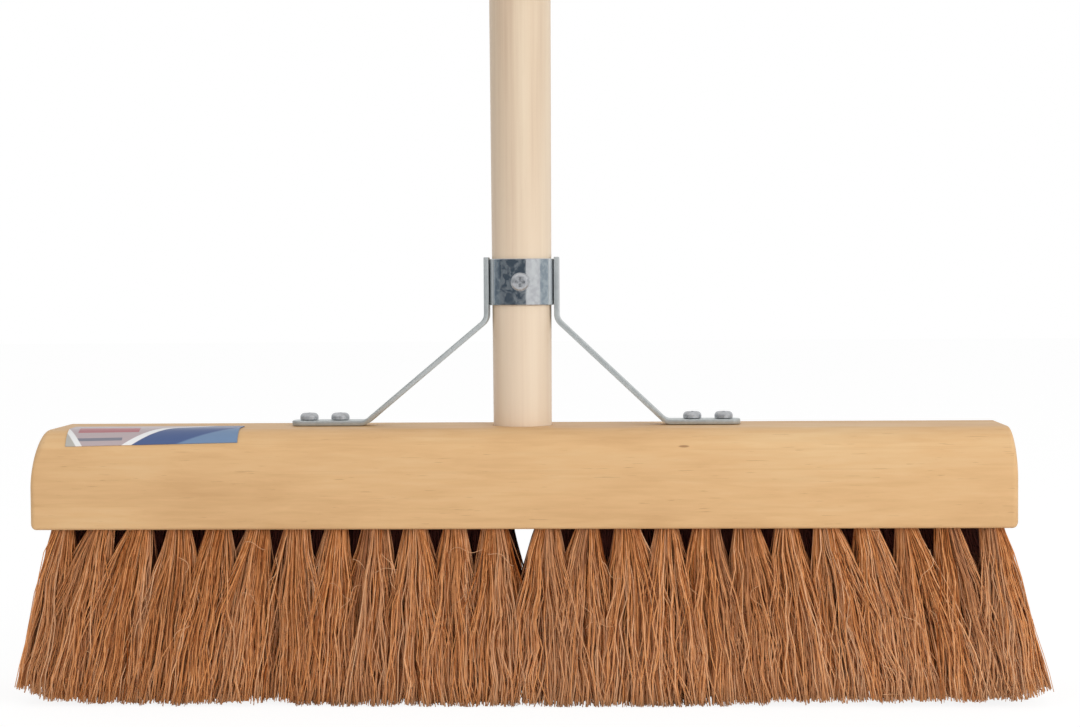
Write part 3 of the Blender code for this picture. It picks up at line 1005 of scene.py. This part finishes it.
def bend_strands(mesh, paths, widths, looks):
    """Lay a mesh of straight strands along paths, and give each strand its looks, point by point."""
    points = np.empty(len(mesh.vertices) * 3)
    mesh.vertices.foreach_get("co", points)
    points = points.reshape(-1, 3)
    which = np.floor(points[:, 0] / strand_step + 0.5).astype(int)
    ring = np.rint(points[:, 2]).astype(int)
    run = np.gradient(paths, axis=1)
    run /= np.linalg.norm(run, axis=2, keepdims=True)
    side = np.cross((0.0, 1.0, 0.0), run)
    side /= np.maximum(np.linalg.norm(side, axis=2, keepdims=True), 0.01)
    front = np.cross(run, side)
    reach = widths[which, ring, None] / 2
    across = (points[:, 0] - strand_step * which)[:, None]
    deep = points[:, 1][:, None]
    placed = paths[which, ring] + reach * (across * side[which, ring] + deep * front[which, ring])
    mesh.vertices.foreach_set("co", placed.ravel())
    for word, values in looks.items():
        mesh.attributes.new(word, "FLOAT", "POINT").data.foreach_set("value", values[which, ring])
    mesh.update()
    return mesh


def step_between(value, low, high):
    """Return a smooth step from 0 to 1 as a value goes from low to high."""
    rise = np.clip((value - low) / (high - low), 0, 1)
    return rise * rise * (3 - 2 * rise)


# The bristles' ends where they leave the block, and how far out a fibre or a stray may stand
left_face = 0.2166
right_face = 0.2206
front_limit = 0.0406
stray_limit = 0.0407

# Strays start at the tufts' face under the block, sink into it at one end and stand proud at the other
stray_rings = 18
stray_width = 0.00030
stray_start = 0.0296
stray_proud = 0.0012
stray_sink = 0.0035

# The last tufts on the right stand a little further out
last_tuft_x = 0.205
last_tuft_shift = 0.0020

# How far the fibres go into their holes, and how far a fibre's inner points may slide along it
root_depth = 0.006
ring_slide = 0.0055

# How much tufts differ from each other: spreads of a normal draw, along and across the block
girth_spread = 0.06
place_spread = 0.0007
fan_spread = 0.18
lean_spread = (0.040, 0.010)
tuft_tone_spread = 0.04

# How much a tuft's locks differ, and the least and most of their waves
lock_pull = 0.28
lock_lean_spread = (0.050, 0.013)
lock_sway_range = (0.0003, 0.0013)
lock_beat_range = (0.026, 0.050)
lock_tip_spread = 0.0003
lock_tone_spread = 0.09
lock_dryness = (0.10, 0.20)

# How much single fibres differ
slope_spread = (0.038, 0.012)
bow_spread = (0.40, 0.10)
sway_range = (0.0001, 0.0008)
beat_range = (0.024, 0.050)
weave_spread = (0.00055, 0.00095)
width_spread = 0.26
tip_spread = 0.0004
short_share = 0.05
short_most = 0.010
tone_middle = 0.53
tone_spread = 0.16

# Painted shade: fibres are painted dark this far below the block, where they stand this deep between the
# tufts, out of the light
dark_depth = (0.010, 0.036)
dark_cover = (0.004, 0.011)

# How high above the floor the bristles are trimmed, at places along the block
trim = (
    (-0.2350, 0.0096),
    (-0.2294, 0.0078),
    (-0.2229, 0.0046),
    (-0.2161, 0.0026),
    (-0.2070, 0.0018),
    (-0.1934, 0.0012),
    (-0.1665, 0.0010),
    (-0.1396, 0.0014),
    (-0.1127, 0.0020),
    (-0.0857, 0.0004),
    (-0.0588, 0.0010),
    (-0.0319, 0.0002),
    (0.0490, 0.0004),
    (0.0758, 0.0000),
    (0.1028, 0.0013),
    (0.1297, 0.0015),
    (0.1566, 0.0017),
    (0.1836, 0.0022),
    (0.2105, 0.0024),
    (0.2254, 0.0031),
    (0.2333, 0.0045),
    (0.2389, 0.0068),
)


def tip_height(x):
    """Return how high above the floor the bristles are trimmed, with two faint waves along the block."""
    wavy = 0.0004 * np.sin(x * 330) + 0.0003 * np.sin(x * 710 + 2)
    return np.interp(x, *zip(*trim)) + wavy + 0.0004


def disc_points(draw, number, least=0.0):
    """Return random points in a circle of radius 1."""
    angle = draw.uniform(0, math.tau, number)
    out = np.sqrt(draw.uniform(least, 1, number))
    return np.stack((out * np.cos(angle), out * np.sin(angle)), 1)


def tuft_paths(sizes, draw, x, y, row, number):
    """Return the paths, widths and looks of one tuft's fibres."""
    middle = (row_count - 1) / 2
    long = block_low.z
    locks = sizes.locks
    depth = np.concatenate(((-root_depth,), np.linspace(0, 1, sizes.rings - 1) * long))
    shift = np.sin(math.pi * np.maximum(depth, 0) / long)
    depth = depth + shift * draw.uniform(-ring_slide, ring_slide, (number, 1))
    root = disc_points(draw, number)
    girth = sizes.root * (1 + draw.normal(0, girth_spread))
    wander = draw.normal(0, place_spread)
    flare = sizes.fan_x * (1 + draw.normal(0, fan_spread))

    lock = disc_points(draw, locks, 0.02)
    lock_lean = draw.normal(0, 1, (locks, 2)) * lock_lean_spread
    lock_sway = draw.uniform(*lock_sway_range, (locks, 1, 2)) * (1, 0.6)
    lock_beat = draw.uniform(*lock_beat_range, (locks, 1, 2))
    lock_start = draw.uniform(0, 1, (locks, 1, 2))
    lock_tip = draw.normal(0, lock_tip_spread, locks)
    lock_tone = draw.normal(0, lock_tone_spread, locks)
    lock_dry = np.clip(draw.normal(*lock_dryness, locks), 0, 0.7)
    mine = np.argmin(((root[:, None] - lock[None]) ** 2).sum(2), 1)

    far = step_between(abs(x), 0.04, 0.18)
    lean = (
        np.sign(x) * far * sizes.lean_x + draw.normal(0, lean_spread[0]),
        (row - middle) / middle * sizes.lean_y + draw.normal(0, lean_spread[1]),
    )
    spread = root * (1 - lock_pull) + lock[mine] * lock_pull
    slope = spread * (flare, sizes.fan_y) + lock_lean[mine] + lean
    slope += draw.normal(0, 1, (number, 2)) * slope_spread

    deep = np.maximum(depth, 0)
    below = deep[:, :, None]
    curve = below * (1 + 0.22 * (1 - below / long))
    flat = (root * girth)[:, None] + slope[:, None] * curve
    bow = draw.normal(0, 1, (number, 1, 2)) * bow_spread
    sway = draw.uniform(*sway_range, (number, 1, 2)) * np.minimum(1, below / 0.02)
    beat = below / draw.uniform(*beat_range, (number, 1, 2)) + draw.uniform(0, 1, (number, 1, 2))
    flat = flat + bow * below**2 + sway * np.sin(math.tau * beat)
    weave = np.cumsum(draw.normal(0, 1, (number, sizes.rings, 2)), 1) * weave_spread
    flat = flat + weave * step_between(below, 0.004, 0.030)
    beat = below / lock_beat[mine] + lock_start[mine]
    flat = flat + lock_sway[mine] * np.minimum(1, below / 0.03) * np.sin(math.tau * beat)

    along = x + wander * step_between(deep, 0, 0.006) + flat[:, :, 0]
    if x > last_tuft_x:
        along += last_tuft_shift * (depth >= 0)
    waves = draw.uniform(60, 120, (number, 1))
    ripple = 0.0006 * np.sin(deep * waves + draw.uniform(0, math.tau, (number, 1)))
    edge = (ripple - np.abs(draw.normal(0, 0.0006, (number, 1)))) * np.minimum(1, deep / 0.01)
    left = left_face + sizes.left_slope * deep + edge
    right = right_face + sizes.right_slope * deep + edge
    along = np.clip(along, -left, right)
    front = front_limit - np.abs(draw.normal(0, 0.0004, (number, 1)))
    across = np.clip(y + flat[:, :, 1], -front, front)

    ragged = draw.normal(0, 0.00012, number) + lock_tip[mine] + draw.normal(0, tip_spread)
    ragged += np.where(draw.uniform(0, 1, number) < short_share, draw.uniform(0, short_most, number), 0)
    lowest = np.maximum(0.0002, tip_height(along[:, -1]) + ragged)
    height = long - depth * (long - lowest[:, None]) / long
    paths = np.stack((along, across, height), 2)

    width = sizes.width * np.clip(draw.normal(1, width_spread, number), 0.5, 1.7)
    taper = np.interp(depth, (0, 0.01, 0.06, long), (0.9, 1.0, 1.0, 0.95))
    widths = width[:, None] * taper

    tone = tone_middle + draw.normal(0, tone_spread, number) + lock_tone[mine]
    tone += draw.normal(0, tuft_tone_spread)
    dry = np.clip(lock_dry[mine] + draw.normal(0, 0.10, number), 0, 0.8)
    outer_y = middle * sizes.row_pitch + sizes.root - np.abs(y + root[:, 1] * sizes.root)
    outer_x = block_high.x - sizes.end_margin + sizes.root - np.abs(x + root[:, 0] * sizes.root)
    cover = step_between(np.minimum(outer_y, outer_x), *dark_cover)
    # Painted shade: how dark a fibre is painted, deep between the tufts near the block
    hollow = cover[:, None] * (1 - step_between(deep, *dark_depth))
    # Painted light and shade: fibres are painted lighter towards their tips, as the block shades the roots,
    # and lighter towards the right end, where the light comes from
    tone = tone[:, None] + 0.28 * (deep / long - 0.5) + 0.12 * x / 0.22 * deep / long
    looks = (np.clip(tone, 0.02, 0.98), hollow, dry[:, None] * np.ones(sizes.rings))
    return paths, widths, *looks


def stray_paths(sizes, draw):
    """Return the paths and widths of pale curled fibres that stick out of the front and the back."""
    number = sizes.strays
    front = np.where(draw.uniform(0, 1, number) < 0.6, -1.0, 1.0)
    start_x = draw.uniform(-last_tuft_x, last_tuft_x, number)
    start_z = block_low.z * draw.uniform(0.15, 0.95, number)
    outside = stray_start + (sizes.lean_y + sizes.fan_y) * (block_low.z - start_z)
    turning = draw.uniform(-1, 1, number) * draw.uniform(20, 160, number)
    heading = draw.uniform(0, math.tau, number)[:, None]
    long = draw.uniform(0.010, 0.024, number)[:, None]
    share_run = np.linspace(0, 1, stray_rings)
    step = share_run[None] * long
    course = heading + turning[:, None] * step + 0.6 * np.sin(step * 420 + heading)
    stride = long / (stray_rings - 1)
    x = start_x[:, None] + np.cumsum(np.cos(course) * stride, 1)
    z = start_z[:, None] + np.cumsum(np.sin(course) * stride, 1)
    z = np.clip(z, 0.006, block_low.z - 0.001)
    sink = stray_sink * (1 - share_run) ** 3
    proud = outside[:, None] + stray_proud - sink + 0.0006 * np.sin(step * 300)
    y = front[:, None] * np.minimum(proud, stray_limit)
    widths = np.full((number, stray_rings), stray_width) * draw.uniform(0.7, 1.3, (number, 1))
    return np.stack((x, y, z), 2), widths


class BROOM_OT_fibres(bpy.types.Operator):
    """Make the coco fibre tufts, one piece for each half row, and the curled strays"""

    bl_idname = "broom.fibres"
    bl_label = "Coco fibres"

    def execute(self, context):
        sizes = context.scene.broom.fibres
        material = fibre_finish(sizes)
        for row in range(row_count):
            number = sizes.outer_fibres if row in (0, row_count - 1) else sizes.inner_fibres
            for side, word in halves:
                draw = np.random.default_rng((sizes.seed, row, side + 1))
                tufts = [
                    tuft_paths(sizes, draw, side * x, row_y(sizes, row), row, number)
                    for x in tuft_places(sizes, row)
                ]
                paths, widths, *looks = (np.concatenate(part) for part in zip(*tufts))
                name = f"coco_row_{row + 1}_{word}"
                mesh = strand_mesh(name, len(paths), sizes.rings)
                bend_strands(mesh, paths, widths, dict(zip(fibre_looks, looks)))
                seat(name, mesh, material, [f"tuft_row_{row + 1}_{word}"], None)
        draw = np.random.default_rng((sizes.seed, 99))
        paths, widths = stray_paths(sizes, draw)
        even = np.ones((len(paths), stray_rings))
        dry = even * draw.uniform(0, 0.5, (len(paths), 1))
        looks = dict(zip(fibre_looks, (even * 0.95, even * 0, dry)))
        mesh = bend_strands(strand_mesh("coco_strays", len(paths), stray_rings), paths, widths, looks)
        seat("coco_strays", mesh, material, [], None)
        return {"FINISHED"}


# Stage


def add_lamp(name, place, aim, width, watts):
    """Add a soft square lamp that points at a place."""
    data = bpy.data.lights.new(name, "AREA")
    data.shape = "SQUARE"
    data.size = width
    data.energy = watts
    lamp = add_object(name, data)
    lamp.location = place
    lamp.rotation_euler = (Vector(aim) - Vector(place)).to_track_quat("-Z", "Y").to_euler()
    lamp.visible_glossy = False


def seen_rays(finish):
    """Return 1 for a ray that shows a surface directly, in gloss or through glass."""
    outputs = finish.node("ShaderNodeLightPath").socket.node.outputs
    words = ("Is Camera Ray", "Is Glossy Ray", "Is Transmission Ray")
    return sum(Wire(finish, outputs[word]) for word in words)


# The grey cards round the broom that the zinc mirrors: name, tone, first and last azimuth
flags = (
    ("flag_front", (0.11, 0.142, 0.176), -83, 17),
    ("flag_left", (0.185, 0.236, 0.280), -109, -83),
    ("flag_far_left", (0.40, 0.47, 0.53), -138, -109),
    ("flag_right", (0.52, 0.60, 0.65), 71, 112),
)
flag_radius = 1.6
flag_heights = (-0.2, 0.75)

# The floor's own light as seen, and the even light of the surroundings
floor_glow = 1.10
world_light = 0.63


def add_flag(name, tone, start, end):
    """Hang a curved card round the handle that only gloss shows, from one azimuth to another."""
    bm = bmesh.new()
    turn_to = Matrix.Rotation(math.radians(start), 3, "Z")
    verts = [bm.verts.new(turn_to @ Vector((0, -flag_radius, z))) for z in flag_heights]
    edge = bm.edges.new(verts)
    sweep = math.radians(end - start)
    bmesh.ops.spin(
        bm, geom=[*verts, edge], cent=(0, 0, 0), axis=(0, 0, 1), angle=sweep, steps=24, use_merge=False
    )
    card = add_object(name, mesh_of(name, bm))
    finish = Finish(bpy.data.materials.new(name))
    finish.tree.nodes.clear()
    glow = finish.node("ShaderNodeEmission", None, {"Color": tone, "Strength": 1.0})
    finish.node("ShaderNodeOutputMaterial", None, {"Surface": glow})
    card.data.materials.append(finish.owner)
    for word in ("camera", "diffuse", "transmission", "volume_scatter", "shadow"):
        setattr(card, f"visible_{word}", False)


class BROOM_OT_stage(bpy.types.Operator):
    """Make the floor, the lamps, the white surroundings and the camera"""

    bl_idname = "broom.stage"
    bl_label = "Stage"

    def execute(self, context):
        sizes = context.scene.broom.stage
        scene = context.scene
        scene.view_settings.view_transform = "Standard"

        bm = bmesh.new()
        bmesh.ops.create_grid(bm, x_segments=1, y_segments=1, size=6)
        floor = add_object("floor", mesh_of("floor", bm))
        finish = Finish(bpy.data.materials.new("floor"))
        finish.tree.nodes.clear()
        matte = finish.node("ShaderNodeBsdfDiffuse", None, {"Color": sizes.floor})
        white = finish.node("ShaderNodeEmission", None, {"Color": (1, 1, 1), "Strength": floor_glow})
        seen = finish.node("ShaderNodeMixShader", None, {0: seen_rays(finish) * 0.8, 1: matte, 2: white})
        finish.node("ShaderNodeOutputMaterial", None, {"Surface": seen})
        floor.data.materials.append(finish.owner)

        world = bpy.data.worlds.new("studio")
        finish = Finish(world)
        finish.tree.nodes.clear()
        light = finish.node("ShaderNodeBackground", None, {"Color": (1, 1, 1), "Strength": world_light})
        white = finish.node("ShaderNodeBackground", None, {"Color": (1, 1, 1), "Strength": 1.0})
        both = finish.node("ShaderNodeMixShader", None, {0: seen_rays(finish), 1: light, 2: white})
        finish.node("ShaderNodeOutputWorld", None, {"Surface": both})
        scene.world = world

        aim = (0, 0, 0.12)
        add_lamp("key_lamp", (1.40, -1.55, 0.75), aim, 1.2, 21)
        add_lamp("fill_lamp", (-1.8, -2.2, 0.7), aim, 1.6, 12)
        for flag in flags:
            add_flag(*flag)

        azimuth = math.radians(sizes.azimuth)
        data = bpy.data.cameras.new("camera")
        data.lens = sizes.lens
        data.sensor_width = 36
        data.clip_end = 50
        camera = add_object("camera", data)
        place = (sizes.distance * math.sin(azimuth), -sizes.distance * math.cos(azimuth), sizes.height)
        camera.matrix_world = (
            Matrix.Translation(place)
            @ Matrix.Rotation(azimuth + math.radians(sizes.yaw), 4, "Z")
            @ Matrix.Rotation(math.radians(90 + sizes.pitch), 4, "X")
            @ Matrix.Rotation(math.radians(sizes.roll), 4, "Z")
        )
        scene.camera = camera
        return {"FINISHED"}


class BROOM_PT_panel(bpy.types.Panel):
    """Lists the broom's pieces in the sidebar"""

    bl_idname = "BROOM_PT_panel"
    bl_label = "Coco push broom"
    bl_space_type = "VIEW_3D"
    bl_region_type = "UI"
    bl_category = "Broom"

    def draw(self, context):
        for operator in operators:
            box = self.layout.box()
            box.operator(operator.bl_idname)
            group = getattr(context.scene.broom, operator.bl_idname.removeprefix("broom."))
            for word in group.__annotations__:
                box.prop(group, word)


operators = (
    BROOM_OT_stage,
    BROOM_OT_block,
    BROOM_OT_handle,
    BROOM_OT_brace,
    BROOM_OT_screws,
    BROOM_OT_label,
    BROOM_OT_fibres,
)
groups = (
    BroomBlock,
    BroomHandle,
    BroomBrace,
    BroomScrews,
    BroomLabel,
    BroomFibres,
    BroomStage,
    BroomSettings,
)


def register():
    """Register the settings, the operators and the panel."""
    for each in (*groups, *operators, BROOM_PT_panel):
        bpy.utils.register_class(each)
    bpy.types.Scene.broom = bpy.props.PointerProperty(type=BroomSettings)


def unregister():
    """Take the panel, the operators and the settings away again."""
    del bpy.types.Scene.broom
    for each in reversed((*groups, *operators, BROOM_PT_panel)):
        bpy.utils.unregister_class(each)


def main():
    """Make the whole broom and its stage."""
    register()
    bpy.ops.broom.stage()
    bpy.ops.broom.block()
    bpy.ops.broom.handle()
    bpy.ops.broom.brace()
    bpy.ops.broom.screws()
    bpy.ops.broom.label()
    bpy.ops.broom.fibres()


if __name__ == "__main__":
    main()
